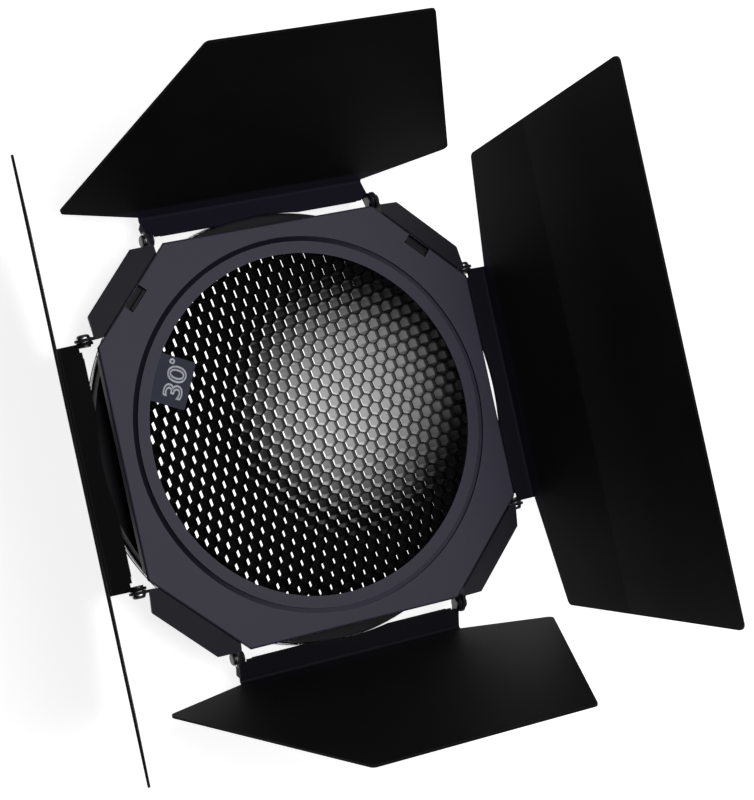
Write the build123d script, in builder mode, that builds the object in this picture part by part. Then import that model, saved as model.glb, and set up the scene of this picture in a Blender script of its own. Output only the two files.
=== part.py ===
"""Four-leaf barn door attachment with a push-on rear collar and a honeycomb grid.

Millimetres. +Z is the optical axis, towards the front of the attachment. The origin is the
centre of the collar's rear mouth. +X is the right-hand door, +Y the top door.
"""
import os
from math import cos, hypot, radians, sin, sqrt, tan

from build123d import *

# ---------------------------------------------------------------- driving dimensions
SHEET = 1.2                 # sheet of the face plate and of the doors
FACE_Z = 27.0               # front face of the plate above the collar's rear rim
OPENING_R = 83.0            # light opening
BAND_W = 7.0                # flat band from the opening to the middle of the ring groove
GROOVE_W = 2.6              # groove width at the front
GROOVE_DEEP = 1.2           # groove depth, and height of the ridge behind it
LIP_DROP = 5.0              # back-turned lip on each long edge
LIP_SHORT = 3.5             # lip's end short of the octagon's corner
FLANGE_W = 12.0             # width of a corner flange down its slope
FLANGE_SLOPE = 22.0         # degrees below the plate
FLAT_INSET = 5.0            # long edges of the octagon inside the collar's bore
CORNER_LAND = 0.394         # corner bend outside a slot
SLOT_AT = (45, 135)         # corners that have a slot, degrees round from +X
SLOT_W = 13.0               # slot at each corner, along the corner edge
SLOT_DEEP = 5.0             # slot's size outwards

COLLAR_STEP = 13.5          # bore of the rear collar outside the middle of the groove
COLLAR_WALL = 1.2
COLLAR_HIGH = 10.7          # length of the collar's bore
COLLAR_LIP = 0.9            # small outward lip at the rear rim
COLLAR_SPLIT = 2.0          # gap of the split band
TONGUE_W = 11.5              # tongues that pass through the plate's slots
TONGUE_JOG = 0.3            # tongue's flat inner face outside the bore
TONGUE_FOOT = 5.2           # tongue's foot under the slot, outwards
FOOT_WIDER = 1.0            # foot past each end of the slot
FOOT_DROP = 1.0             # foot's top below the plate's back
SHOULDER_T = 0.8            # shoulder that closes the space from the collar to the grid clips
HOOP_WIRE_R = 0.8           # bright wire around the collar
HOOP_Z = 4.3

PIVOT_STEP = 3.0            # hinge axis outside the plate's long edge
PIVOT_DROP = 9.0            # hinge axis behind the plate's front face
EAR_STEP = 4.5              # inner face of a plate ear beyond the end of the long edge
EAR_HALF = 4.5              # half width of an ear, and its end radius
RIVET_R = 2.0               # rivet shank
STRIP_EDGE = 1.6            # hinge axis to the strip's inner edge between the notches
CLENCH_W = 1.0              # clenched head's width round the shank
WASHER_T = 0.5              # wave washer between the ears
CAP_WASHER_T = 0.5          # bright washer under a rivet head
CAP_WASHER_R = 3.6

STRIP_S = 13.8              # hinge axis to the door's bend
DOOR_BEND = 97.0            # degrees the sheet turns from strip to leaf
BEND_IN = 1.2               # inside bend radius
RELIEF_DEEP = 2.0           # depth of the relief arc in the strip's inner edge

WIDE_FLARE = (14.0, 11.0)   # large leaf: root corner's half width beyond the hinge radius, and its distance
WIDE_GROW = (21.0, 126.0)   # large leaf: free edge's extra half width and distance
NARROW_FLARE = (2.0, 17.5)  # small leaf: the same
NARROW_GROW = (-46.5, 119.5)
LEAF_CORNER_R = 3.0

REST_RIGHT = 80.5           # leaf angle above the plate's plane in the stored pose
REST_TOP = 64.5
REST_LEFT = 71.5
REST_BOTTOM = 74.0

GRID_RIM_WALL = 1.0
GRID_DEEP = 13.4            # depth of the grid's rim
CELL = 6.35                 # honeycomb cell across flats
CELL_WALL = 0.4
CORE_SINK = 0.6             # honeycomb's front behind the rim's front
CORE_TURN = 10.0            # the honeycomb is turned in its rim
TAB = (23.6, 21.0, 0.5)     # angle tab: along the rim, towards the middle, thickness
TAB_AT = 153.0              # degrees round from +X
CLIP_W = 12.0
CLIP_T = 0.8

# ---------------------------------------------------------------- named clearances
RUN = 0.05                  # radial clearance of a rivet in a hole
SIDE = 0.05                 # clearance on each face of a washer
STRIP_GAP = WASHER_T + 2 * SIDE   # plate ear to door ear
EAR_NOTCH = 4.0             # strip's ends cut back from the clenched rivet heads
RELIEF_CLEAR = 1.3          # relief arc's radius over the collar's
HOOP_GAP = 0.05             # wire to collar
TONGUE_SIDE = 0.3           # slot edge inside the tongue
TONGUE_LOW = 0.3            # tongue end below the plate's front face
RIM_GAP = 0.3               # grid rim inside the pressed ridge
CORE_GAP = 0.1              # honeycomb inside its rim
CLIP_GAP = 0.5              # clip outside the pressed ridge
FOOT_GAP = 0.8              # clip's foot inside the plate's lip
SHOULDER_GAP = 1.0          # shoulder outside the grid clips
SHOULDER_STEP = 0.5         # shoulder's underside above the bore

# ---------------------------------------------------------------- dependent dimensions
PLATE_BACK = FACE_Z - SHEET
GROOVE_R = OPENING_R + BAND_W
COLLAR_BORE_R = GROOVE_R + COLLAR_STEP
FLAT_HALF = COLLAR_BORE_R - FLAT_INSET
PIVOT_R = FLAT_HALF + PIVOT_STEP
COLLAR_OUT_R = COLLAR_BORE_R + COLLAR_WALL
TONGUE_IN = COLLAR_BORE_R + TONGUE_JOG
SLOT_R = (TONGUE_IN - TONGUE_SIDE, TONGUE_IN - TONGUE_SIDE + SLOT_DEEP)
DIAG_R = SLOT_R[1] + CORNER_LAND
LONG_HALF = DIAG_R * sqrt(2) - FLAT_HALF
LIP_HALF = LONG_HALF - LIP_SHORT
EAR_IN = LONG_HALF + EAR_STEP
WIDE_ROOT = (PIVOT_R + WIDE_FLARE[0], WIDE_FLARE[1])
WIDE_TIP = (WIDE_ROOT[0] + WIDE_GROW[0], WIDE_ROOT[1] + WIDE_GROW[1])
NARROW_ROOT = (PIVOT_R + NARROW_FLARE[0], NARROW_FLARE[1])
NARROW_TIP = (NARROW_ROOT[0] + NARROW_GROW[0], NARROW_ROOT[1] + NARROW_GROW[1])
PIVOT_Z = FACE_Z - PIVOT_DROP
HOLE_R = RIVET_R + RUN
STRIP_OUT = EAR_IN - STRIP_GAP
STRIP_IN = RIVET_R + CLENCH_W   # strip's inner edge in the notches
RIDGE_IN_R = GROOVE_R - GROOVE_W / 2 - GROOVE_DEEP
RIDGE_OUT_R = GROOVE_R + GROOVE_W / 2 + GROOVE_DEEP
RIM_OUT_R = RIDGE_IN_R - RIM_GAP
CORE_R = RIM_OUT_R - GRID_RIM_WALL - CORE_GAP
RIM_LOW = PLATE_BACK - GRID_DEEP
CORE_TOP = PLATE_BACK - CORE_SINK
CORE_DEEP = CORE_TOP - RIM_LOW
CORE_LOW = RIM_LOW
RELIEF_R = COLLAR_OUT_R + RELIEF_CLEAR
CLIP_R = RIDGE_OUT_R + CLIP_GAP
CLIP_FOOT = FLAT_HALF - SHEET - FOOT_GAP - CLIP_R
SHOULDER_IN_R = CLIP_R + CLIP_T + SHOULDER_GAP
SHOULDER_LOW = COLLAR_HIGH + SHOULDER_STEP

os.makedirs("parts", exist_ok=True)


def save(part, name):
    """Label a finished piece and write it out."""
    part.label = name
    export_step(part, f"parts/{name}.step")


# ---------------------------------------------------------------- face plate
def flange_profile():
    """Side view of a corner flange: x is the distance from the axis, y the height."""
    slope = radians(FLANGE_SLOPE)
    run = Vector(cos(slope), -sin(slope))
    back = Vector(-sin(slope), -cos(slope)) * SHEET
    bend_front = Vector(DIAG_R, FACE_Z)
    bend_back = Vector(DIAG_R - SHEET * tan(slope / 2), PLATE_BACK)
    tip = bend_front + run * FLANGE_W
    start = DIAG_R - 6
    corners = [Vector(start, FACE_Z), bend_front, tip, tip + back, bend_back, Vector(start, PLATE_BACK)]
    return [(p.X, p.Y) for p in corners]


def flange_outline():
    """Plan view of the corner flange at +X +Y, trimmed flush with the plate's flats."""
    end = FLAT_HALF
    reach = (DIAG_R + FLANGE_W * cos(radians(FLANGE_SLOPE))) * sqrt(2) + 1
    root = DIAG_R * sqrt(2) - EAR_IN - 8
    return [(EAR_IN, root), (EAR_IN, end), (reach - end, end), (end, reach - end), (end, EAR_IN), (root, EAR_IN)]


def corner_flange():
    """Sloping flange at +X +Y with its two ears."""
    with BuildPart() as flange:
        with BuildSketch(Plane.XZ) as side_view:
            with BuildLine():
                Polyline(*flange_profile(), close=True)
            make_face()
        extrude(amount=45, both=True)
        bends = flange.edges().filter_by(Axis.Y).filter_by(lambda e: abs(e.center().X - DIAG_R) < 1)
        fillet(bends, 0.7)
    turned = flange.part.moved(Location((0, 0, 0), (0, 0, 45)))
    with BuildPart() as plan:
        with BuildSketch() as outline:
            with BuildLine():
                Polyline(*flange_outline(), close=True)
            make_face()
            far = outline.vertices().sort_by(lambda v: v.X + v.Y)[-2:]
            fillet(far, 4.5)
        extrude(amount=FACE_Z + 5)
    with BuildPart() as corner:
        add(turned)
        add(plan.part, mode=Mode.INTERSECT)
        for swap in (False, True):
            add(hinge_ear(swap))
    return corner.part


def hinge_ear(swap):
    """One ear of a corner, square to its hinge axis."""
    slope = tan(radians(FLANGE_SLOPE))
    root = DIAG_R * sqrt(2) - EAR_IN + 0.3

    def under(x):
        """Height inside the flange sheet above the ear."""
        return FACE_Z - ((x + EAR_IN) / sqrt(2) - DIAG_R) * slope - 0.9

    with BuildPart() as ear:
        with BuildSketch(Plane.XZ.offset(-EAR_IN)):
            with Locations((PIVOT_R, PIVOT_Z)):
                Circle(EAR_HALF)
            with BuildLine():
                Polyline(
                    (root, under(root)),
                    (FLAT_HALF, under(FLAT_HALF)),
                    (PIVOT_R + EAR_HALF * 0.6, PIVOT_Z + EAR_HALF * 0.8),
                    (PIVOT_R - EAR_HALF * 0.2, PIVOT_Z - EAR_HALF * 0.97),
                    (root, PIVOT_Z + 1),
                    close=True,
                )
            make_face()
            with Locations((PIVOT_R, PIVOT_Z)):
                Circle(HOLE_R, mode=Mode.SUBTRACT)
        extrude(amount=-SHEET)
    if swap:
        return ear.part.mirror(Plane((0, 0, 0), z_dir=(1, -1, 0)))
    return ear.part


def octagon():
    """Corner points of the face plate."""
    a = FLAT_HALF
    b = LONG_HALF
    return [(a, -b), (a, b), (b, a), (-b, a), (-a, b), (-a, -b), (-b, -a), (b, -a)]


corner = corner_flange()
with BuildPart() as face_plate:
    with BuildSketch(Plane.XY.offset(PLATE_BACK)):
        Polygon(*octagon(), align=None)
    extrude(amount=SHEET)
    with PolarLocations(0, 4):
        with Locations((FLAT_HALF - SHEET / 2, 0, FACE_Z - LIP_DROP / 2)):
            Box(SHEET, 2 * LIP_HALF, LIP_DROP)
    rolled = face_plate.edges().filter_by(
        lambda e: abs(e.center().Z - FACE_Z) < 0.01 and abs(hypot(e.center().X, e.center().Y) - FLAT_HALF) < 0.01
    )
    fillet(rolled, 1.1)
    for turn in (0, 90, 180, 270):
        add(corner.moved(Location((0, 0, 0), (0, 0, turn))))
    with BuildSketch(Plane.XY.offset(PLATE_BACK - GROOVE_DEEP)):
        Circle(RIDGE_OUT_R)
        Circle(RIDGE_IN_R, mode=Mode.SUBTRACT)
    extrude(amount=GROOVE_DEEP + 0.1)
    with BuildSketch(Plane.XY.offset(FACE_Z)):
        Circle(GROOVE_R + GROOVE_W / 2)
        Circle(GROOVE_R - GROOVE_W / 2, mode=Mode.SUBTRACT)
    extrude(amount=-GROOVE_DEEP, mode=Mode.SUBTRACT)
    with BuildSketch(Plane.XY.offset(PLATE_BACK - 10)):
        Circle(OPENING_R)
    extrude(amount=20, mode=Mode.SUBTRACT)
    for at in SLOT_AT:
        with BuildSketch(Plane.XY.rotated((0, 0, at)).offset(FACE_Z - 12)):
            with Locations(((SLOT_R[0] + SLOT_R[1]) / 2, 0)):
                Rectangle(SLOT_R[1] - SLOT_R[0], SLOT_W)
        extrude(amount=14, mode=Mode.SUBTRACT)
save(face_plate.part, "face_plate")


# ---------------------------------------------------------------- rear collar and its wire
with BuildPart() as rear_collar:
    with BuildSketch():
        Circle(COLLAR_OUT_R)
        Circle(COLLAR_BORE_R, mode=Mode.SUBTRACT)
    extrude(amount=COLLAR_HIGH)
    with BuildSketch():
        Circle(COLLAR_OUT_R + COLLAR_LIP)
        Circle(COLLAR_BORE_R, mode=Mode.SUBTRACT)
    extrude(amount=COLLAR_WALL)
    with BuildSketch(Plane.XY.offset(COLLAR_HIGH)):
        Circle(COLLAR_OUT_R)
        Circle(TONGUE_IN, mode=Mode.SUBTRACT)
    extrude(amount=SHOULDER_STEP + SHOULDER_T)
    with BuildSketch(Plane.XY.offset(SHOULDER_LOW)):
        Circle(COLLAR_OUT_R)
        Circle(SHOULDER_IN_R, mode=Mode.SUBTRACT)
    extrude(amount=SHOULDER_T)
    with BuildSketch(Plane.XY.offset(COLLAR_HIGH - 2)):
        with PolarLocations(TONGUE_IN + COLLAR_WALL / 2, 4, start_angle=45):
            Rectangle(COLLAR_WALL, TONGUE_W)
    extrude(amount=PLATE_BACK - COLLAR_HIGH + 2)
    for at in SLOT_AT:
        turn = Plane.XY.rotated((0, 0, at))
        with BuildSketch(turn.offset(PLATE_BACK - 1)):
            with Locations((TONGUE_IN + COLLAR_WALL / 2, 0)):
                Rectangle(COLLAR_WALL, TONGUE_W)
        extrude(amount=SHEET + 1 - TONGUE_LOW)
        with BuildSketch(turn.offset(PLATE_BACK - FOOT_DROP - COLLAR_WALL)):
            with Locations((TONGUE_IN + TONGUE_FOOT / 2, 0)):
                Rectangle(TONGUE_FOOT, SLOT_W + 2 * FOOT_WIDER)
        extrude(amount=COLLAR_WALL)
    with BuildSketch():
        with Locations((COLLAR_BORE_R, 0)):
            Rectangle(12, COLLAR_SPLIT)
    extrude(amount=SHOULDER_LOW, mode=Mode.SUBTRACT)
save(rear_collar.part, "rear_collar")

with BuildPart() as collar_hoop:
    with BuildSketch(Plane.XZ):
        with Locations((COLLAR_OUT_R + HOOP_WIRE_R + HOOP_GAP, HOOP_Z)):
            Circle(HOOP_WIRE_R)
    revolve(axis=Axis.Z)
save(collar_hoop.part, "collar_hoop")


# ---------------------------------------------------------------- honeycomb grid
with BuildPart() as grid_rim:
    with BuildSketch(Plane.XY.offset(RIM_LOW)):
        Circle(RIM_OUT_R)
        Circle(RIM_OUT_R - GRID_RIM_WALL, mode=Mode.SUBTRACT)
    extrude(amount=GRID_DEEP)
save(grid_rim.part, "grid_rim")

CELL_R = (CELL - CELL_WALL) / sqrt(3)
WEB_R = CORE_R - CELL_WALL


def cell_corners():
    """Corner points of every honeycomb cell that reaches well inside the core."""
    found = []
    rise = CELL * sqrt(3) / 2
    count = int(CORE_R / rise) + 2
    for row in range(-count, count + 1):
        for col in range(-count, count + 1):
            mid = Vector((col + (row % 2) / 2) * CELL, row * rise).rotate(Axis.Z, CORE_TURN)
            if mid.length < WEB_R + CELL_R * 0.3:
                turns = [radians(30 + 60 * k + CORE_TURN) for k in range(6)]
                found.append([(mid.X + CELL_R * cos(a), mid.Y + CELL_R * sin(a)) for a in turns])
    return found


def cell_wires():
    """Outline of each cell, cut off at the core's own skin where it meets the rim."""
    wires = []
    for corners in cell_corners():
        if max(hypot(x, y) for x, y in corners) < WEB_R - 0.05:
            wires.append(Wire.make_polygon([Vector(x, y) for x, y in corners]))
            continue
        with BuildSketch(mode=Mode.PRIVATE) as cut_cell:
            Polygon(*corners, align=None)
            Circle(WEB_R, mode=Mode.INTERSECT)
        if cut_cell.sketch.area > 4:
            wires.append(cut_cell.face().outer_wire())
    return wires


with BuildPart() as honeycomb_core:
    with BuildSketch(Plane.XY.offset(CORE_LOW)):
        add(Face(Wire.make_circle(CORE_R), cell_wires()))
    extrude(amount=CORE_DEEP)
save(honeycomb_core.part, "honeycomb_core")

with BuildPart() as angle_tab:
    tab_mid_r = CORE_R - 1 - TAB[1] / 2
    spot = (tab_mid_r * cos(radians(TAB_AT)), tab_mid_r * sin(radians(TAB_AT)))
    with BuildSketch(Plane.XY.offset(CORE_TOP)):
        with Locations(Location(spot, TAB_AT)):
            RectangleRounded(TAB[1], TAB[0], 1.5)
        Circle(CORE_R - 0.3, mode=Mode.INTERSECT)
    extrude(amount=TAB[2])
save(angle_tab.part, "angle_tab")

with BuildPart() as grid_clips:
    with PolarLocations(0, 4, start_angle=0):
        with Locations((CLIP_R + CLIP_FOOT / 2, 0, PLATE_BACK - CLIP_T / 2)):
            Box(CLIP_FOOT, CLIP_W, CLIP_T)
        with Locations((CLIP_R + CLIP_T / 2, 0, (PLATE_BACK + RIM_LOW - CLIP_T) / 2)):
            Box(CLIP_T, CLIP_W, PLATE_BACK - RIM_LOW + CLIP_T)
        with Locations(((CLIP_R + CLIP_T + RIM_OUT_R - 3) / 2, 0, RIM_LOW - CLIP_T / 2)):
            Box(CLIP_R + CLIP_T - RIM_OUT_R + 3, CLIP_W, CLIP_T)
save(grid_clips.part, "grid_clips")


# ---------------------------------------------------------------- doors
def door_place(azimuth, rest):
    """Where a door built on its hinge axis goes: strip angle is the leaf angle less the bend."""
    about = Location((0, 0, 0), (0, 0, azimuth))
    return about * Location((PIVOT_R, 0, PIVOT_Z), (0, DOOR_BEND - rest, 0))


def door_blank(root, tip):
    """A door on its hinge axis (local Y), its strip along local X and its leaf rising past +Z."""
    beta = radians(DOOR_BEND)
    half = SHEET / 2
    along = Vector(cos(beta), 0, sin(beta))
    inward = Vector(-sin(beta), 0, cos(beta))
    vertex = Vector(STRIP_S, 0, 0)
    shift = half * tan(beta / 2)
    tangent = (BEND_IN + half) * tan(beta / 2)
    stub = vertex + along * (tangent + 1.5)
    outer_stub = stub - inward * half
    inner_stub = stub + inward * half
    section = [
        (STRIP_IN, -half),
        (STRIP_S + shift, -half),
        (outer_stub.X, outer_stub.Z),
        (inner_stub.X, inner_stub.Z),
        (STRIP_S - shift, half),
        (STRIP_IN, half),
    ]
    leaf_plane = Plane(origin=vertex - inward * half, x_dir=(0, 1, 0), z_dir=inward)
    sign = 1 if leaf_plane.y_dir.dot(along) > 0 else -1
    with BuildPart() as door:
        with BuildSketch(Plane.XZ):
            with BuildLine():
                Polyline(*section, close=True)
            make_face()
        extrude(amount=STRIP_OUT, both=True)
        inner = door.edges().filter_by(Axis.Y).sort_by_distance((STRIP_S - shift, 0, half))[0]
        fillet(inner, BEND_IN)
        outer = door.edges().filter_by(Axis.Y).sort_by_distance((STRIP_S + shift, 0, -half))[0]
        fillet(outer, BEND_IN + SHEET)
        with BuildSketch(leaf_plane) as leaf:
            with BuildLine():
                Polyline(
                    (-STRIP_OUT, sign * tangent),
                    (-root[0], sign * root[1]),
                    (-tip[0], sign * tip[1]),
                    (tip[0], sign * tip[1]),
                    (root[0], sign * root[1]),
                    (STRIP_OUT, sign * tangent),
                    close=True,
                )
            make_face()
            free = leaf.vertices().filter_by(lambda v: abs(v.Y) > tangent + 0.5)
            fillet(free, LEAF_CORNER_R)
        extrude(amount=SHEET)
        with Locations(((STRIP_EDGE + STRIP_IN) / 2 + 0.5, 0, 0)):
            Box(STRIP_IN - STRIP_EDGE + 1, 2 * (STRIP_OUT - EAR_NOTCH), SHEET)
        with BuildSketch(Plane.XY.offset(-10)):
            with Locations((STRIP_EDGE + RELIEF_DEEP - RELIEF_R, 0)):
                Circle(RELIEF_R)
        extrude(amount=20, mode=Mode.SUBTRACT)
        for side in (-1, 1):
            face = side * STRIP_OUT
            with BuildSketch(Plane.XZ.offset(-face)):
                Circle(EAR_HALF - 0.3)
                with Locations((5.5, -(EAR_HALF - 0.3) / 2)):
                    Rectangle(11, EAR_HALF - 0.3)
            extrude(amount=side * SHEET)
            with BuildSketch(Plane.XZ.offset(-face - side)):
                Circle(HOLE_R)
            extrude(amount=side * 8, mode=Mode.SUBTRACT)
    return door.part


def hinge_hardware(place):
    """Rivets, bright head washers and wave washers of one door, as three separate pieces."""
    grip_out = EAR_IN + SHEET + CAP_WASHER_T + 2 * SIDE
    clench = STRIP_OUT - SHEET - SIDE
    with BuildPart() as rivets:
        for side in (-1, 1):
            with BuildSketch(Plane.XZ.offset(-side * clench)):
                Circle(RIVET_R)
            extrude(amount=-side * (grip_out - clench))
            with BuildSketch(Plane.XZ.offset(-side * clench)):
                Circle(RIVET_R + CLENCH_W)
            extrude(amount=side * 0.9)
            with BuildSketch(Plane.XZ.offset(-side * grip_out)):
                Circle(RIVET_R + 1.2)
            extrude(amount=-side * 1.5)
        domes = rivets.edges().filter_by(GeomType.CIRCLE).filter_by(
            lambda e: abs(abs(e.center().Y) - grip_out - 1.5) < 0.01
        )
        fillet(domes, 1.2)
    with BuildPart() as caps:
        for side in (-1, 1):
            with BuildSketch(Plane.XZ.offset(-side * (EAR_IN + SHEET + SIDE))):
                Circle(CAP_WASHER_R)
                Circle(HOLE_R, mode=Mode.SUBTRACT)
            extrude(amount=-side * CAP_WASHER_T)
    with BuildPart() as waves:
        for side in (-1, 1):
            with BuildSketch(Plane.XZ.offset(-side * (STRIP_OUT + SIDE))):
                Circle(CAP_WASHER_R + 0.2)
                Circle(HOLE_R, mode=Mode.SUBTRACT)
            extrude(amount=-side * WASHER_T)
    return [piece.part.moved(place) for piece in (rivets, caps, waves)]


wide = door_blank(WIDE_ROOT, WIDE_TIP)
narrow = door_blank(NARROW_ROOT, NARROW_TIP)
DOORS = (
    ("right", 0, REST_RIGHT, wide),
    ("top", 90, REST_TOP, narrow),
    ("left", 180, REST_LEFT, wide),
    ("bottom", 270, REST_BOTTOM, narrow),
)
for side_name, azimuth, rest, blank in DOORS:
    save(blank.moved(door_place(azimuth, rest)), f"door_{side_name}")
    hinge_line = Location((0, 0, 0), (0, 0, azimuth)) * Location((PIVOT_R, 0, PIVOT_Z))
    rivets, caps, waves = hinge_hardware(hinge_line)
    save(rivets, f"hinge_rivets_{side_name}")
    save(caps, f"cap_washers_{side_name}")
    save(waves, f"wave_washers_{side_name}")
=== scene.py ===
"""Looks of a four-leaf barn door attachment with a honeycomb grid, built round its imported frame."""

import math

import bmesh
import bpy
from mathutils import Euler, Matrix, Vector


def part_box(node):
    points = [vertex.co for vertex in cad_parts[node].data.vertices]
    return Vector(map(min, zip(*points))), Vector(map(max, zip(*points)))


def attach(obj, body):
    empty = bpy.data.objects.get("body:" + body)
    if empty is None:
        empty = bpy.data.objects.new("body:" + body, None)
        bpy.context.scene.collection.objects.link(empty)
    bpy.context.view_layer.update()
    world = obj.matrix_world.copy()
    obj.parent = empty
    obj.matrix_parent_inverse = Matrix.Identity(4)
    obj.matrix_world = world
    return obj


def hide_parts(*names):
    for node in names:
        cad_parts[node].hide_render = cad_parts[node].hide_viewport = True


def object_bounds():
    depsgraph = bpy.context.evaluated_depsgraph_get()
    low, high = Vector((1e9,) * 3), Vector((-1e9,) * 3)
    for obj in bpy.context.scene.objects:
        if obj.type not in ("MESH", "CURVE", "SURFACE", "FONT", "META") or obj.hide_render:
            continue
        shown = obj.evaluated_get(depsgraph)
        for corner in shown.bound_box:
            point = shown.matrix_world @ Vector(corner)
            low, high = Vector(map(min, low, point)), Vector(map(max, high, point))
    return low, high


bl_info = {
    "name": "Barn Door Attachment",
    "version": (1, 0, 0),
    "blender": (4, 5, 0),
    "location": "View3D > Sidebar > Barn Doors",
    "description": "Finishes, label and wave washers of a barn door attachment, and its studio",
    "category": "Object",
}

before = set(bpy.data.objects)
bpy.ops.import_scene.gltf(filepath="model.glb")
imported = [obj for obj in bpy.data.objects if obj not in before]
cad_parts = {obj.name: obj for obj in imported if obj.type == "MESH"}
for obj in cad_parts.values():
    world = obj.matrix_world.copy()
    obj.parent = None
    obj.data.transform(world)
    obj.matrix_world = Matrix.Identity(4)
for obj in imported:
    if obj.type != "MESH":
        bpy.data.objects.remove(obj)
CAD_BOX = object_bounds()
SIDES = ("right", "top", "left", "bottom")
WAYS = {"right": (1.0, 0.0), "top": (0.0, 1.0), "left": (-1.0, 0.0), "bottom": (0.0, -1.0)}
FACE_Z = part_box("face_plate")[1].z
GROOVE_R = 0.090            # middle of the ring groove in the face plate
FOLD_R = 0.1089             # corner folds of the face plate from the optical axis
STRIP_END = 0.0152          # end of a door's hinge strip from its hinge axis
HIGHLIGHT_HEIGHT = 0.40        # height of the line where a large leaf's painted highlight starts, as a share of its rise above the hinge axis
HIGHLIGHT_FADE = 0.046         # height over which the painted highlight past that line fades
TAB_TURN = 63.0             # degrees that the label's digits are turned from +X
DIGITS_IN = 0.0026          # digits' middle from the tab's, towards the optical axis
DIGITS_RISE = 0.00003       # digits' middle above the tab
CAP_HEIGHT = 0.70           # height of a digit as a share of the type's size
LINE_FLAT = 0.35            # thickness of the ink as a share of its width
DEGREE_R = 0.0010           # radius of the degree ring
DEGREE_GAP = 0.0013         # degree ring's middle past the end of the digits
DEGREE_DROP = 0.0012        # and below their top
SHADED_FRONT = (0.0038, 0.0028)  # depths at which the painted shade on the honeycomb's front begins and is full
WASHER_ROOM = 0.0005        # room between the ears for a wave washer
WASHER_BORE = 0.55          # bore of a wave washer as a share of its outside
SHADED_FLOOR = (0.105, 0.102)     # radii at which the painted shade on the floor under the part begins and is full
OPEN_FLOOR = (0.106, 0.112)     # radii at which the floor's glow in reflections begins and is full
GLOW_UNDER_GRID = (0.098, 0.084)    # radii at which the painted glow under the grid, seen in reflections, begins and is full
GLOW_PATCH_CORE = 0.012           # radius of the painted glow patch's full brightness
GLOW_PATCH_GAIN = 1.4             # strength of the floor's glow, given in full to the painted glow patch
MIRRORED_WORLD = 0.35       # world's strength added for reflections
KEY_AT, KEY_SIZE = (0.25, 0.10, 1.70), 1.3
SIDE_AT, SIDE_SIZE = (-1.20, -0.60, 0.90), 0.9
PLATE_WEAR_AND_HIGHLIGHT = (0.14, 0.137, 0.145, 1.0)  # rubbed edges of the plate, partly a painted highlight
LEAF_WEAR_AND_HIGHLIGHT = (0.17, 0.15, 0.14, 1.0)     # rubbed edges of the doors, partly a painted highlight
SHADED_FLANGE = (0.020, 0.020, 0.023, 1.0)


# ---------------------------------------------------------------- shader expressions
class Wire:
    """A shader socket that adds a Math node for each operator used on it."""

    def __init__(self, shader, socket):
        self.shader = shader
        self.socket = socket

    def _math(self, operation, first, second):
        node = self.shader.node("ShaderNodeMath", {"operation": operation}, {0: first, 1: second})
        return node.out()

    def __add__(self, other):
        return self._math("ADD", self, other)

    def __radd__(self, other):
        return self._math("ADD", other, self)

    def __sub__(self, other):
        return self._math("SUBTRACT", self, other)

    def __rsub__(self, other):
        return self._math("SUBTRACT", other, self)

    def __mul__(self, other):
        return self._math("MULTIPLY", self, other)

    def __rmul__(self, other):
        return self._math("MULTIPLY", other, self)

    def __truediv__(self, other):
        return self._math("DIVIDE", self, other)

    def __rtruediv__(self, other):
        return self._math("DIVIDE", other, self)

    def __pow__(self, other):
        return self._math("POWER", self, other)

    def __rpow__(self, other):
        return self._math("POWER", other, self)

    def __abs__(self):
        return self._math("ABSOLUTE", self, 0.0)


class Made:
    """A node that was added, whose outputs are asked for by name or number."""

    def __init__(self, shader, node):
        self.shader = shader
        self.node = node

    def out(self, name=0):
        return Wire(self.shader, self.node.outputs[name])


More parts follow.
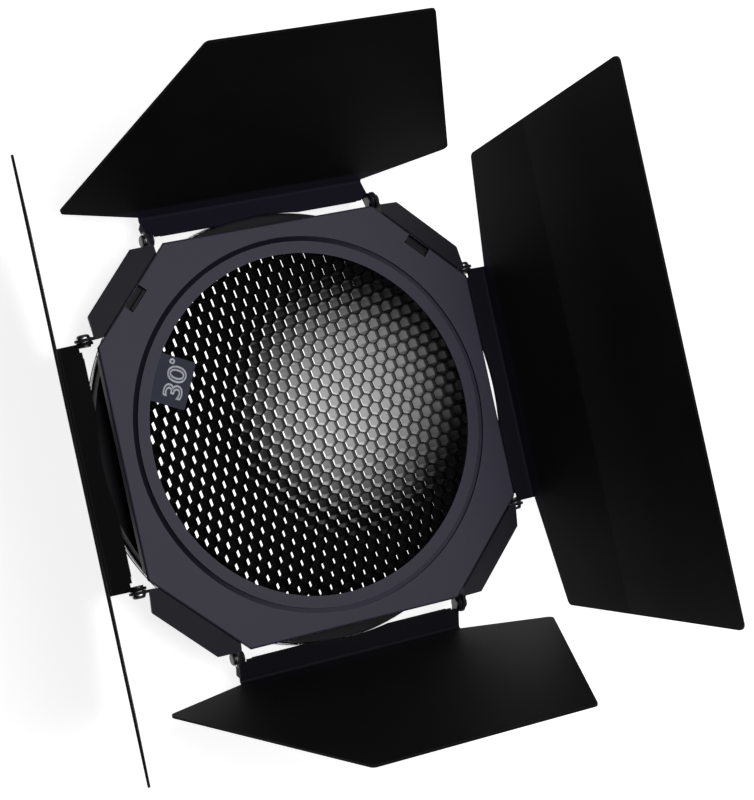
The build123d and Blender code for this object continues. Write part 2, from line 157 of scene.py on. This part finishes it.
class Shader:
    """The node tree of one material, or of the world."""

    def __init__(self, name, world=False):
        self.material = (bpy.data.worlds if world else bpy.data.materials).new(name)
        self.material.use_nodes = True
        self.tree = self.material.node_tree
        self.tree.nodes.clear()
        self.output = self.tree.nodes.new("ShaderNodeOutputWorld" if world else "ShaderNodeOutputMaterial")

    def node(self, kind, settings=None, inputs=None):
        """A node of that type with its settings, then the values or links of its sockets."""
        made = self.tree.nodes.new(kind)
        for key, value in (settings or {}).items():
            setattr(made, key, value)
        for key, value in (inputs or {}).items():
            if isinstance(value, Wire):
                self.tree.links.new(value.socket, made.inputs[key])
            else:
                made.inputs[key].default_value = value
        return Made(self, made)

    def place(self, scale=(1.0, 1.0, 1.0)):
        """Object coordinates in metres, scaled."""
        coords = self.node("ShaderNodeTexCoord").out("Object")
        return self.node("ShaderNodeMapping", {}, {"Vector": coords, "Scale": scale}).out()

    def noise(self, vector, scale, detail=2.0, rough=0.5):
        """Fractal noise centred on a half."""
        return self.node(
            "ShaderNodeTexNoise", {}, {"Vector": vector, "Scale": scale, "Detail": detail, "Roughness": rough}
        ).out("Fac")

    def band(self, value, low, high, to_low=0.0, to_high=1.0):
        """Value mapped smoothly from one range to another."""
        return self.node(
            "ShaderNodeMapRange",
            {"interpolation_type": "SMOOTHSTEP"},
            {"Value": value, "From Min": low, "From Max": high, "To Min": to_low, "To Max": to_high},
        ).out("Result")

    def blend(self, factor, first, second):
        """Two colours mixed."""
        made = self.node("ShaderNodeMix", {"data_type": "RGBA"}, {0: factor, 6: first, 7: second})
        return made.out(2)

    def bump(self, height, strength, distance):
        """Normal from a height."""
        inputs = {"Height": height, "Strength": strength, "Distance": distance}
        return self.node("ShaderNodeBump", {}, inputs).out()

    def edges(self, radius):
        """One on sharp edges and nought on flat faces."""
        soft = self.node("ShaderNodeBevel", {"samples": 4}, {"Radius": radius}).out()
        plain = self.node("ShaderNodeNewGeometry").out("Normal")
        return self.band(self.dot(soft, plain), 0.96, 0.80)

    def dot(self, first, second):
        """The dot product of two vectors."""
        settings = {"operation": "DOT_PRODUCT"}
        return self.node("ShaderNodeVectorMath", settings, {0: first, 1: second}).out("Value")

    def split(self, vector):
        """The x, y and z of a vector."""
        parts = self.node("ShaderNodeSeparateXYZ", {}, {0: vector})
        return parts.out("X"), parts.out("Y"), parts.out("Z")

    def clamp(self, value):
        """A value kept from nought to one."""
        return self.node("ShaderNodeClamp", {}, {"Value": value}).out()

    def finish(self, inputs, kind="ShaderNodeBsdfPrincipled"):
        """The Principled shader, or another, as the surface."""
        body = self.node(kind, {}, inputs)
        self.tree.links.new(body.out().socket, self.output.inputs["Surface"])
        return self.material


def grey(color, share):
    """A colour with its brightness changed."""
    return (color[0] * share, color[1] * share, color[2] * share, 1.0)


# ---------------------------------------------------------------- finishes
def fold_shade(s, here):
    """Shade in the pressed ring's groove and along the corner folds, and one on the corner flanges."""
    x, y, z = s.split(here)
    far = (x * x + y * y) ** 0.5
    ring = s.band(abs(far - GROOVE_R), 0.0016, 0.0011) * s.band(z, FACE_Z - 0.0001, FACE_Z - 0.0004)
    # painted shade in the groove: full towards -x, +y, falling to 0.45 of it towards +x, -y
    aside = (y * 0.5 - x * 0.8) / far
    corner = (abs(x) + abs(y)) * math.sqrt(0.5)
    fold = s.band(abs(corner - FOLD_R), 0.0010, 0.0003) * s.band(far, 0.1200, 0.1150)
    lines = ring * s.band(aside, -0.5, 0.5, 0.45, 1.0) + fold * 0.9
    # painted shade over the corner flanges past the fold line
    flange = s.band(corner - FOLD_R, 0.0002, 0.0008)
    return s.clamp(lines), flange


def powder_coat(name, color, roughness, level, speckle, wear_and_highlight, with_fold_shade=False):
    """Satin powder coat: fine orange peel, faint clouding, dust specks and sheet edges made lighter, partly
    rubbed coat and partly a painted highlight; optionally painted shade in the ring's groove, along the
    corner folds and over the corner flanges.
    """
    s = Shader(name)
    here = s.place()
    peel = s.noise(here, 1100.0, 3.0, 0.6)
    cloud = s.noise(here, 22.0, 4.0, 0.6)
    grain = s.noise(here, 2600.0, 2.0, 0.6)
    # lighter sheet edges: partly rubbed coat, partly a painted highlight
    rubbed_and_highlit = s.edges(0.0006) * s.band(s.noise(here, 90.0, 3.0), 0.35, 0.65, 0.35, 1.0)
    dust = s.band(s.noise(here, 700.0, 1.0), 0.70, 0.78) * s.band(s.noise(here, 30.0, 2.0), 0.45, 0.65)
    tone = s.blend(s.band(cloud, 0.3, 0.7), grey(color, 0.90), grey(color, 1.10))
    tone = s.blend(dust * speckle, tone, grey(color, 2.6))
    shade = 0.0
    if with_fold_shade:
        # painted shade in the groove, along the folds and over the corner flanges
        shade, flange = fold_shade(s, here)
        tone = s.blend(flange * 0.75, tone, SHADED_FLANGE)
        tone = s.blend(shade, tone, grey(color, 0.12))
    tone = s.blend(rubbed_and_highlit * wear_and_highlight, tone, PLATE_WEAR_AND_HIGHLIGHT)
    rough = roughness - 0.05 + 0.10 * cloud + 0.08 * (grain - 0.5) - 0.10 * rubbed_and_highlit
    height = peel * 0.7 + grain * 0.3
    return s.finish({
        "Base Color": tone, "Roughness": rough, "Metallic": shade, "Specular IOR Level": level,
        "Normal": s.bump(height, 0.22, 0.00012),
    })


def leaf_coat(name, color, roughness, level, wear_and_highlight, strip_light, painted_highlight_z=None):
    """Near-black powder coat of a door, with painted light on its hinge strip and a painted highlight fading
    from a line across a large leaf; its edges lighter, partly rubbed coat and partly a painted highlight.
    """
    s = Shader(name)
    here = s.place()
    peel = s.noise(here, 1300.0, 3.0, 0.6)
    cloud = s.noise(here, 16.0, 4.0, 0.62)
    grain = s.noise(here, 3000.0, 2.0, 0.6)
    # lighter sheet edges: partly rubbed coat, partly a painted highlight
    rubbed_and_highlit = s.edges(0.0005) * s.band(s.noise(here, 70.0, 3.0), 0.35, 0.60, 0.25, 1.0)
    dust = s.band(s.noise(here, 900.0, 1.0), 0.71, 0.78) * s.band(s.noise(here, 24.0, 2.0), 0.45, 0.62)
    tone = s.blend(s.band(cloud, 0.3, 0.7), grey(color, 0.85), grey(color, 1.15))
    x, y, z = s.split(here)
    if painted_highlight_z is not None:
        # painted highlight: lighter above a line across the leaf, fading upward
        past = z - painted_highlight_z
        painted_highlight = s.band(past, -0.0006, 0.0012) * s.band(past, HIGHLIGHT_FADE, 0.0)
        tone = s.blend(painted_highlight * 0.75, tone, grey(color, 2.4))
    axis, way, strip_light_color, share = strip_light
    along = x * way[0] + y * way[1] - axis[0]
    up = z - axis[1]
    near = (along * along + up * up) ** 0.5
    # painted light on the hinge strip: a lighter tone near the hinge axis, by a share set for each side
    tone = s.blend(s.band(near, STRIP_END, STRIP_END - 0.0012) * share, tone, strip_light_color)
    tone = s.blend(dust * 0.35, tone, grey(color, 3.0))
    tone = s.blend(rubbed_and_highlit * wear_and_highlight, tone, LEAF_WEAR_AND_HIGHLIGHT)
    rough = roughness - 0.05 + 0.10 * cloud + 0.06 * (grain - 0.5) - 0.08 * rubbed_and_highlit
    return s.finish({
        "Base Color": tone, "Roughness": rough, "Specular IOR Level": level,
        "Normal": s.bump(peel * 0.7 + grain * 0.3, 0.20, 0.0001),
    })


def foil_coat(name, color, roughness, top):
    """Black lacquered honeycomb foil: glossy walls, and painted shade making the walls' front dead black."""
    s = Shader(name)
    here = s.place()
    height = s.split(here)[2]
    # painted shade: the walls' front made dark, dull and uncoated
    front_shade = s.band(height, top - SHADED_FRONT[0], top - SHADED_FRONT[1])
    cloud = s.noise(here, 60.0, 2.0)
    streak = s.noise(s.place((1.0, 1.0, 0.08)), 900.0, 2.0)
    tone = s.blend(s.band(cloud, 0.3, 0.7), grey(color, 0.8), grey(color, 1.3))
    return s.finish({
        "Base Color": s.blend(front_shade, tone, grey(color, 0.5)), "Roughness": roughness - 0.06 + 0.12 * streak,
        "Metallic": front_shade, "Specular IOR Level": 1.0, "Coat Weight": 1.0 - front_shade, "Coat Roughness": 0.12,
    })


def zinc(name, color, roughness, dull):
    """Bright zinc with faint turning lines and tarnish."""
    s = Shader(name)
    here = s.place()
    cloud = s.noise(here, 240.0, 4.0, 0.6)
    lines = s.noise(s.place((1.0, 1.0, 14.0)), 500.0, 2.0)
    tone = s.blend(s.band(cloud, 0.35, 0.75), (*color, 1.0), grey(color, dull))
    return s.finish({
        "Base Color": tone, "Roughness": roughness + 0.15 * cloud + 0.06 * lines, "Metallic": 1.0,
        "Normal": s.bump(lines, 0.08, 0.00004),
    })


def gloss_black(name, color, roughness):
    """Black rivet paint, lighter in patches spread by noise as a painted highlight meant for the crowns."""
    s = Shader(name)
    here = s.place()
    cloud = s.noise(here, 500.0, 3.0)
    # painted highlight: lighter patches spread by noise
    tone = s.blend(s.band(cloud, 0.45, 0.8), (*color, 1.0), grey(color, 2.0))
    return s.finish({
        "Base Color": tone, "Roughness": roughness + 0.2 * cloud, "Specular IOR Level": 0.6,
        "Normal": s.bump(cloud, 0.15, 0.0001),
    })


def label_film(name, color):
    """Matt printed film with fine tooth."""
    s = Shader(name)
    here = s.place()
    tooth = s.noise(here, 2400.0, 2.0)
    cloud = s.noise(here, 120.0, 3.0)
    tone = s.blend(s.band(cloud, 0.3, 0.7), grey(color, 0.92), grey(color, 1.08))
    return s.finish({
        "Base Color": tone, "Roughness": 0.55 + 0.1 * tooth, "Specular IOR Level": 0.35,
        "Normal": s.bump(tooth, 0.15, 0.00005),
    })


def paint(node, material):
    """One material over a whole CAD node."""
    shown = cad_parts[node]
    shown.data.materials.clear()
    shown.data.materials.append(None)
    slot = shown.material_slots[0]
    slot.link = "OBJECT"
    slot.material = material
    for face in shown.data.polygons:
        face.material_index = 0


def place_mesh(name, work, body, material):
    """A finished bmesh as a piece that rides on a body."""
    mesh = bpy.data.meshes.new(name)
    work.to_mesh(mesh)
    work.free()
    piece = bpy.data.objects.new(name, mesh)
    bpy.context.scene.collection.objects.link(piece)
    mesh.materials.append(material)
    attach(piece, body)
    return piece


# ---------------------------------------------------------------- settings
class CoatSettings(bpy.types.PropertyGroup):
    """Colours and gloss of the sheet metal."""

    plate_color: bpy.props.FloatVectorProperty(
        name="Plate coat", description="Blue-grey satin coat of the face plate and collar",
        default=(0.044, 0.041, 0.069), size=3, subtype="COLOR", min=0.0, max=1.0)
    plate_roughness: bpy.props.FloatProperty(
        name="Plate roughness", description="Roughness of the plate's coat", default=0.46, min=0.0, max=1.0)
    leaf_color: bpy.props.FloatVectorProperty(
        name="Leaf coat", description="Near-black coat of the doors",
        default=(0.0090, 0.0086, 0.0094), size=3, subtype="COLOR", min=0.0, max=1.0)
    leaf_roughness: bpy.props.FloatProperty(
        name="Leaf roughness", description="Roughness of the doors' coat", default=0.58, min=0.0, max=1.0)
    # edge wear also sets the painted highlight along the sheet edges
    edge_wear_and_highlight: bpy.props.FloatProperty(
        name="Edge wear", description="How far the coat is rubbed off the sheet edges", default=0.45, min=0.0,
        max=1.0)


class GridSettings(bpy.types.PropertyGroup):
    """Honeycomb and its label."""

    foil_color: bpy.props.FloatVectorProperty(
        name="Foil coat", description="Coat of the honeycomb's walls",
        default=(0.004, 0.004, 0.004), size=3, subtype="COLOR", min=0.0, max=1.0)
    foil_roughness: bpy.props.FloatProperty(
        name="Foil roughness", description="Roughness of the honeycomb's walls", default=0.28, min=0.0,
        max=1.0)
    label_color: bpy.props.FloatVectorProperty(
        name="Label", description="Background of the angle label",
        default=(0.026, 0.033, 0.058), size=3, subtype="COLOR", min=0.0, max=1.0)
    digit_color: bpy.props.FloatVectorProperty(
        name="Digits", description="Ink of the outline digits",
        default=(0.84, 0.87, 0.96), size=3, subtype="COLOR", min=0.0, max=1.0)
    digit_height: bpy.props.FloatProperty(
        name="Digit height", description="Height of the outline digits", default=0.0100, min=0.002, max=0.02,
        subtype="DISTANCE", unit="LENGTH")
    digits_length: bpy.props.FloatProperty(
        name="Digits length", description="Length of the two digits together", default=0.0160, min=0.004,
        max=0.03, subtype="DISTANCE", unit="LENGTH")
    line_width: bpy.props.FloatProperty(
        name="Line width", description="Half width of the digits' outline", default=0.00048, min=0.0001,
        max=0.001, subtype="DISTANCE", unit="LENGTH")


class HardwareSettings(bpy.types.PropertyGroup):
    """Rivets, washers, wire and clips."""

    zinc_color: bpy.props.FloatVectorProperty(
        name="Zinc", description="Bright wire and washers",
        default=(0.72, 0.73, 0.75), size=3, subtype="COLOR", min=0.0, max=1.0)
    rivet_color: bpy.props.FloatVectorProperty(
        name="Rivets", description="Paint of the rivet heads",
        default=(0.012, 0.012, 0.013), size=3, subtype="COLOR", min=0.0, max=1.0)
    wave_count: bpy.props.IntProperty(
        name="Waves", description="Waves round a spring washer", default=3, min=2, max=6)
    wave_sheet: bpy.props.FloatProperty(
        name="Washer sheet", description="Sheet of a wave washer", default=0.00022, min=0.0001, max=0.0004,
        subtype="DISTANCE", unit="LENGTH")


class StudioSettings(bpy.types.PropertyGroup):
    """Floor, lamps and camera."""

    floor_color: bpy.props.FloatVectorProperty(
        name="Floor", description="Colour of the floor", default=(0.86, 0.86, 0.86), size=3, subtype="COLOR",
        min=0.0, max=1.0)
    lift: bpy.props.FloatProperty(
        name="Floor lift", description="White added to the floor in the camera's view and in reflections",
        default=0.80, min=0.0, max=1.0)
    # painted light: a patch of floor under the grid that glows in reflections
    glow_patch: bpy.props.FloatVectorProperty(
        name="Spot", description="Middle of the bright patch of floor under the grid", default=(0.020, 0.006),
        size=2, subtype="XYZ", unit="LENGTH")
    spot_size: bpy.props.FloatProperty(
        name="Spot size", description="Radius of the bright patch of floor under the grid", default=0.060,
        min=0.01, max=0.1, subtype="DISTANCE", unit="LENGTH")
    key_power: bpy.props.FloatProperty(
        name="Key", description="Power of the large overhead lamp", default=11.0, min=0.0, max=500.0,
        unit="POWER")
    side_power: bpy.props.FloatProperty(
        name="Side", description="Power of the side lamp", default=1.5, min=0.0, max=500.0, unit="POWER")
    world: bpy.props.FloatProperty(
        name="World", description="Strength of the even surrounding light", default=0.13, min=0.0, max=2.0)
    camera_at: bpy.props.FloatVectorProperty(
        name="Camera place", description="Where the camera stands", default=(-0.513906, -0.010484, 1.223751),
        size=3, subtype="TRANSLATION", unit="LENGTH")
    camera_turn: bpy.props.FloatVectorProperty(
        name="Camera turn", description="Which way the camera faces",
        default=(math.radians(6.22905), math.radians(-23.92942), math.radians(-13.49166)),
        size=3, subtype="EULER", unit="ROTATION")
    camera_lens: bpy.props.FloatProperty(
        name="Lens", description="Focal length in millimetres", default=121.651, min=20.0, max=400.0)


# ---------------------------------------------------------------- sheet metal
class BARN_OT_plate(bpy.types.Operator):
    """Coat the face plate and the rear collar"""

    bl_idname = "barn.plate"
    bl_label = "Plate and collar"

    def execute(self, context):
        coats = context.scene.barn_coats
        color = tuple(coats.plate_color)
        paint("face_plate", powder_coat(
            "plate_coat", color, coats.plate_roughness, level=0.30, speckle=0.25, wear_and_highlight=coats.edge_wear_and_highlight,
            with_fold_shade=True))
        paint("rear_collar", powder_coat(
            "collar_coat", tuple(c * 0.12 for c in color), roughness=0.45, level=0.15, speckle=0.15,
            wear_and_highlight=coats.edge_wear_and_highlight * 0.4))
        return {"FINISHED"}


class BARN_OT_doors(bpy.types.Operator):
    """Coat the four doors, with painted light on the hinge strips and a painted highlight across each large
    leaf
    """

    bl_idname = "barn.doors"
    bl_label = "Doors"

    def execute(self, context):
        coats = context.scene.barn_coats
        color = tuple(coats.leaf_color)
        # how much painted light each door's hinge strip gets
        strip_light_shares = {"right": 0.6, "left": 0.0, "top": 1.0, "bottom": 0.25}
        for side in SIDES:
            rivets = sum(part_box(f"hinge_rivets_{side}"), Vector()) / 2
            way = WAYS[side]
            axis = (rivets.x * way[0] + rivets.y * way[1], rivets.z)
            strip_light = (axis, way, grey(tuple(coats.plate_color), 0.5), strip_light_shares[side])
            painted_highlight_z = None
            if side in ("right", "left"):
                painted_highlight_z = axis[1] + (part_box(f"door_{side}")[1].z - axis[1]) * HIGHLIGHT_HEIGHT
            level = 0.03 if side == "top" else 0.07
            coat = leaf_coat(
                f"leaf_coat_{side}", color, coats.leaf_roughness, level, coats.edge_wear_and_highlight * 0.5, strip_light, painted_highlight_z)
            paint(f"door_{side}", coat)
        return {"FINISHED"}


# ---------------------------------------------------------------- grid and label
class BARN_OT_grid(bpy.types.Operator):
    """Finish the honeycomb, its rim and the clips that hold it"""

    bl_idname = "barn.grid"
    bl_label = "Honeycomb grid"

    def execute(self, context):
        grid = context.scene.barn_grid
        hardware = context.scene.barn_hardware
        paint("honeycomb_core", foil_coat(
            "honeycomb_foil", tuple(grid.foil_color), grid.foil_roughness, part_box("honeycomb_core")[1].z))
        paint("grid_rim", powder_coat("rim_band", (0.012, 0.012, 0.013), 0.42, 0.4, 0.1, 0.3))
        paint("grid_clips", zinc("clip_steel", tuple(c * 0.5 for c in hardware.zinc_color), 0.32, 0.6))
        return {"FINISHED"}


class BARN_OT_label(bpy.types.Operator):
    """Finish the angle label and print its outline digits"""

    bl_idname = "barn.label"
    bl_label = "Angle label"

    def degree_ring(self, work, line):
        """The small ring after the digits, turned round from a flattened loop of ink."""
        seed = bmesh.ops.create_circle(work, cap_ends=False, radius=line, segments=6)["verts"]
        bmesh.ops.rotate(work, verts=seed, matrix=Matrix.Rotation(math.radians(90.0), 3, "X"))
        bmesh.ops.scale(work, verts=seed, vec=(1.0, 1.0, LINE_FLAT))
        bmesh.ops.translate(work, verts=seed, vec=(DEGREE_R, 0.0, 0.0))
        edges = list({e for v in seed for e in v.link_edges})
        before = set(work.verts) - set(seed)
        bmesh.ops.spin(
            work, geom=seed + edges, cent=(0.0, 0.0, 0.0), axis=(0.0, 0.0, 1.0), angle=math.tau, steps=20,
            use_merge=True)
        return [v for v in work.verts if v not in before]

    def execute(self, context):
        grid = context.scene.barn_grid
        paint("angle_tab", label_film("label_film", tuple(grid.label_color)))
        low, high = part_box("angle_tab")
        ink = label_film("label_ink", tuple(grid.digit_color))
        text = bpy.data.curves.new("digits", "FONT")
        text.body = "30"
        text.size = grid.digit_height / CAP_HEIGHT
        text.align_x, text.align_y = "CENTER", "CENTER"
        text.fill_mode = "NONE"
        text.bevel_depth = grid.line_width
        text.bevel_resolution = 1
        text.resolution_u = 5
        holder = bpy.data.objects.new("digits", text)
        context.scene.collection.objects.link(holder)
        context.view_layer.update()
        shape = bpy.data.meshes.new_from_object(holder.evaluated_get(context.evaluated_depsgraph_get()))
        bpy.data.objects.remove(holder)
        work = bmesh.new()
        work.from_mesh(shape)
        bmesh.ops.remove_doubles(work, verts=work.verts, dist=1e-6)
        xs = [v.co.x for v in work.verts]
        ys = [v.co.y for v in work.verts]
        middle = Vector(((min(xs) + max(xs)) / 2, (min(ys) + max(ys)) / 2, 0.0))
        wide = grid.digits_length / (max(xs) - min(xs))
        tall = grid.digit_height / (max(ys) - min(ys))
        bmesh.ops.translate(work, verts=work.verts, vec=-middle)
        bmesh.ops.scale(work, verts=work.verts, vec=(wide, tall, LINE_FLAT))
        ring = self.degree_ring(work, grid.line_width)
        corner = (grid.digits_length / 2 + DEGREE_GAP, grid.digit_height / 2 - DEGREE_DROP, 0.0)
        bmesh.ops.translate(work, verts=ring, vec=corner)
        centre = (low + high) / 2
        inward = -Vector((centre.x, centre.y, 0.0)).normalized()
        bmesh.ops.rotate(work, verts=work.verts, matrix=Matrix.Rotation(math.radians(TAB_TURN), 3, "Z"))
        bmesh.ops.translate(work, verts=work.verts, vec=(centre.x, centre.y, high.z + DIGITS_RISE))
        bmesh.ops.translate(work, verts=work.verts, vec=inward * DIGITS_IN)
        bmesh.ops.recalc_face_normals(work, faces=work.faces)
        place_mesh("label_digits", work, "frame", ink)
        return {"FINISHED"}


# ---------------------------------------------------------------- hardware
class BARN_OT_hardware(bpy.types.Operator):
    """Finish the rivets, bright washers and the wire round the collar, and bend the wave washers"""

    bl_idname = "barn.hardware"
    bl_label = "Hinge hardware"

    def wave_washer(self, node, count, sheet):
        """Two wavy rings in the places of a CAD node's two flat ones."""
        low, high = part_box(node)
        side = node.rsplit("_", 1)[1]
        outer = (high.z - low.z) / 2
        middle = (low + high) / 2
        inner = outer * WASHER_BORE
        room = WASHER_ROOM - sheet
        span = "y" if side in ("right", "left") else "x"
        reach = getattr(high, span) - WASHER_ROOM / 2
        work = bmesh.new()
        for end in (-1.0, 1.0):
            rim = bmesh.ops.create_circle(work, cap_ends=False, radius=outer, segments=36)["verts"]
            bore = bmesh.ops.create_circle(work, cap_ends=False, radius=inner, segments=36)["verts"]
            loops = list({e for v in rim + bore for e in v.link_edges})
            faces = bmesh.ops.bridge_loops(work, edges=loops)["faces"]
            thick = bmesh.ops.extrude_face_region(work, geom=faces)
            top = [g for g in thick["geom"] if isinstance(g, bmesh.types.BMVert)]
            bmesh.ops.translate(work, verts=top, vec=(0.0, 0.0, sheet))
            ring = rim + bore + top
            for vert in ring:
                vert.co.z += room * 0.5 * math.cos(count * math.atan2(vert.co.y, vert.co.x)) - sheet / 2
            if span == "y":
                turn = Matrix.Rotation(math.radians(90.0), 3, "X")
                at = (middle.x, end * reach, middle.z)
            else:
                turn = Matrix.Rotation(math.radians(90.0), 3, "Y")
                at = (end * reach, middle.y, middle.z)
            bmesh.ops.rotate(work, verts=ring, matrix=turn)
            bmesh.ops.translate(work, verts=ring, vec=at)
        bmesh.ops.recalc_face_normals(work, faces=work.faces)
        return work

    def execute(self, context):
        hardware = context.scene.barn_hardware
        bright = zinc("bright_zinc", tuple(hardware.zinc_color), 0.16, 0.75)
        spring = zinc("spring_steel", tuple(c * 0.5 for c in hardware.zinc_color), 0.26, 0.6)
        black = gloss_black("rivet_paint", tuple(hardware.rivet_color), 0.22)
        # bright zinc on the wire hoop round the collar, which partly stands in for the highlight on the
        # collar's rolled rim
        paint("collar_hoop", bright)
        for side in SIDES:
            paint(f"hinge_rivets_{side}", black)
            paint(f"cap_washers_{side}", bright)
            paint(f"wave_washers_{side}", spring)
            node = f"wave_washers_{side}"
            work = self.wave_washer(node, hardware.wave_count, hardware.wave_sheet)
            piece = place_mesh(f"wavy_washers_{side}", work, "frame", spring)
            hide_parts(node)
        return {"FINISHED"}


# ---------------------------------------------------------------- studio
class BARN_OT_studio(bpy.types.Operator):
    """Lay the floor and set the lamps, the world and the camera"""

    bl_idname = "barn.studio"
    bl_label = "Studio"

    def floor(self, context):
        studio = context.scene.barn_studio
        work = bmesh.new()
        bmesh.ops.create_grid(work, x_segments=8, y_segments=8, size=3.0)
        bmesh.ops.translate(work, verts=work.verts, vec=(0.0, 0.0, CAD_BOX[0].z - 0.0002))
        mesh = bpy.data.meshes.new("floor")
        work.to_mesh(mesh)
        work.free()
        floor = bpy.data.objects.new("floor", mesh)
        context.scene.collection.objects.link(floor)
        s = Shader("floor_paper")
        rays = s.node("ShaderNodeLightPath")
        here = s.place()
        x, y = s.split(here)[:2]
        far = (x * x + y * y) ** 0.5
        glow_x, glow_y = studio.glow_patch
        near = ((x - glow_x) * (x - glow_x) + (y - glow_y) * (y - glow_y)) ** 0.5
        # painted light: the patch of floor under the grid that glows in reflections
        under = s.band(near, studio.spot_size, GLOW_PATCH_CORE) * s.band(far, *GLOW_UNDER_GRID)
        open_floor = s.band(far, *OPEN_FLOOR)
        camera = rays.out("Is Camera Ray")
        glossy = s.clamp(rays.out("Is Glossy Ray") + rays.out("Is Transmission Ray"))
        seen = camera + s.clamp(under + open_floor) * (1.0 - camera) * glossy
        fibre = s.noise(here, 60.0, 3.0)
        tone = s.blend(s.band(fibre, 0.3, 0.7), grey(studio.floor_color, 0.985), (*studio.floor_color, 1.0))
        # painted shade on the floor under the part; in the camera's view it glows fully white instead
        shade_under_part = s.band(far, *SHADED_FLOOR)
        tone = s.blend(shade_under_part, tone, grey(studio.floor_color, 0.12))
        lift = studio.lift / GLOW_PATCH_GAIN
        s.finish({
            "Base Color": tone, "Roughness": 0.9, "Specular IOR Level": 0.1,
            "Emission Color": s.blend(
                seen, (0.0, 0.0, 0.0, 1.0), s.blend(shade_under_part, (lift, lift, lift, 1.0), (1.0, 1.0, 1.0, 1.0))),
            "Emission Strength": GLOW_PATCH_GAIN,
        })
        mesh.materials.append(s.material)

    def lamp(self, context, name, at, size, power):
        light = bpy.data.lights.new(name, "AREA")
        light.shape = "SQUARE"
        light.size = size
        light.energy = power
        holder = bpy.data.objects.new(name, light)
        aim = (-Vector(at)).to_track_quat("-Z", "Y").to_matrix().to_4x4()
        holder.matrix_world = Matrix.Translation(at) @ aim
        context.scene.collection.objects.link(holder)

    def surroundings(self, context):
        even = context.scene.barn_studio.world
        s = Shader("surroundings", world=True)
        rays = s.node("ShaderNodeLightPath")
        seen, mirrored = rays.out("Is Camera Ray"), rays.out("Is Glossy Ray")
        strength = even + seen * (1.0 - even) + mirrored * MIRRORED_WORLD
        inputs = {"Color": (1.0, 1.0, 1.0, 1.0), "Strength": strength}
        context.scene.world = s.finish(inputs, "ShaderNodeBackground")

    def execute(self, context):
        studio = context.scene.barn_studio
        self.floor(context)
        self.surroundings(context)
        self.lamp(context, "key", KEY_AT, KEY_SIZE, studio.key_power)
        self.lamp(context, "side", SIDE_AT, SIDE_SIZE, studio.side_power)
        camera = bpy.data.cameras.new("camera")
        camera.lens = studio.camera_lens
        camera.sensor_width = 36.0
        camera.sensor_fit = "AUTO"
        camera.clip_start, camera.clip_end = 0.05, 20.0
        holder = bpy.data.objects.new("camera", camera)
        turn = Euler(tuple(studio.camera_turn), "XYZ").to_matrix().to_4x4()
        holder.matrix_world = Matrix.Translation(tuple(studio.camera_at)) @ turn
        context.scene.collection.objects.link(holder)
        context.scene.camera = holder
        context.scene.view_settings.view_transform = "Standard"
        return {"FINISHED"}


class BARN_PT_panel(bpy.types.Panel):
    """Barn door attachment, step by step"""

    bl_idname = "BARN_PT_panel"
    bl_label = "Barn Door Attachment"
    bl_space_type = "VIEW_3D"
    bl_region_type = "UI"
    bl_category = "Barn Doors"

    def draw(self, context):
        layout = self.layout
        for name, group, steps in (
            ("Sheet metal", "barn_coats", (BARN_OT_plate, BARN_OT_doors)),
            ("Grid", "barn_grid", (BARN_OT_grid, BARN_OT_label)),
            ("Hardware", "barn_hardware", (BARN_OT_hardware,)),
            ("Studio", "barn_studio", (BARN_OT_studio,)),
        ):
            box = layout.box()
            box.label(text=name)
            settings = getattr(context.scene, group)
            for key in settings.__annotations__:
                box.prop(settings, key)
            for step in steps:
                box.operator(step.bl_idname)


GROUPS = {
    "barn_coats": CoatSettings,
    "barn_grid": GridSettings,
    "barn_hardware": HardwareSettings,
    "barn_studio": StudioSettings,
}
CLASSES = (
    *GROUPS.values(), BARN_OT_plate, BARN_OT_doors, BARN_OT_grid, BARN_OT_label, BARN_OT_hardware,
    BARN_OT_studio, BARN_PT_panel,
)


def register():
    for cls in CLASSES:
        bpy.utils.register_class(cls)
    for name, group in GROUPS.items():
        setattr(bpy.types.Scene, name, bpy.props.PointerProperty(type=group))


def unregister():
    for name in GROUPS:
        delattr(bpy.types.Scene, name)
    for cls in reversed(CLASSES):
        bpy.utils.unregister_class(cls)


def main():
    register()
    bpy.ops.barn.studio()
    bpy.ops.barn.plate()
    bpy.ops.barn.doors()
    bpy.ops.barn.grid()
    bpy.ops.barn.label()
    bpy.ops.barn.hardware()


if __name__ == "__main__":
    main()
